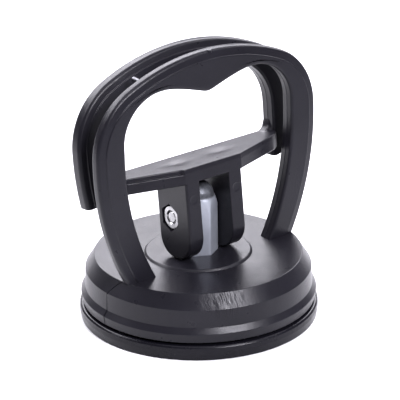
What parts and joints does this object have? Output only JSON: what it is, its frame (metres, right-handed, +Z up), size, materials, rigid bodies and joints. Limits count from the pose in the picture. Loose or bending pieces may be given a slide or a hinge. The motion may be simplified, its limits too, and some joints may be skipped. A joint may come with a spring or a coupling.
{
  "type": "vacuum suction cup",
  "caption": "Hand-held vacuum suction cup: a rubber disc under a round cap with a fixed arch handle, and a hinged cam lever that lifts a hexagonal stem to pull the vacuum.",
  "frame": {"origin": "centre of the disc's sealing face, on the surface that the cup stands on", "axes": "+Z up along the stem, X across the width of both handles along the pivot bolt, +Y towards the lever side"},
  "size_m": [0.0646, 0.0574, 0.0678],
  "materials": {
    "black_abs": "satin moulded plastic",
    "black_rubber": "matt moulded rubber",
    "plated_steel": "satin pale grey metal",
    "bright_steel": "bright zinc plated"
  },
  "bodies": {
    "base": {"housing": "black_abs", "suction_disc": "black_rubber", "stop_pin": "bright_steel"},
    "plunger": {"stem": "plated_steel", "disc_stud": "bright_steel"},
    "lever_arm": {"lever": "black_abs", "pivot_bolt": "bright_steel", "pivot_nut": "bright_steel"}
  },
  "joints": [
    {"name": "stem_lift", "type": "slide", "parent": "base", "child": "plunger", "axis": [0, 0, 1], "range_m": [-0.0024, 0.0001], "deforming": ["suction_disc"]},
    {"name": "lever_hinge", "type": "hinge", "parent": "plunger", "child": "lever_arm", "pos_m": [0, 0, 0.0264], "axis": [1, 0, 0], "range_deg": [-60, 2]}
  ],
  "couplings": [
    {"joint": "stem_lift", "follows": "lever_hinge", "m_per_rad": 0.0022}
  ]
}
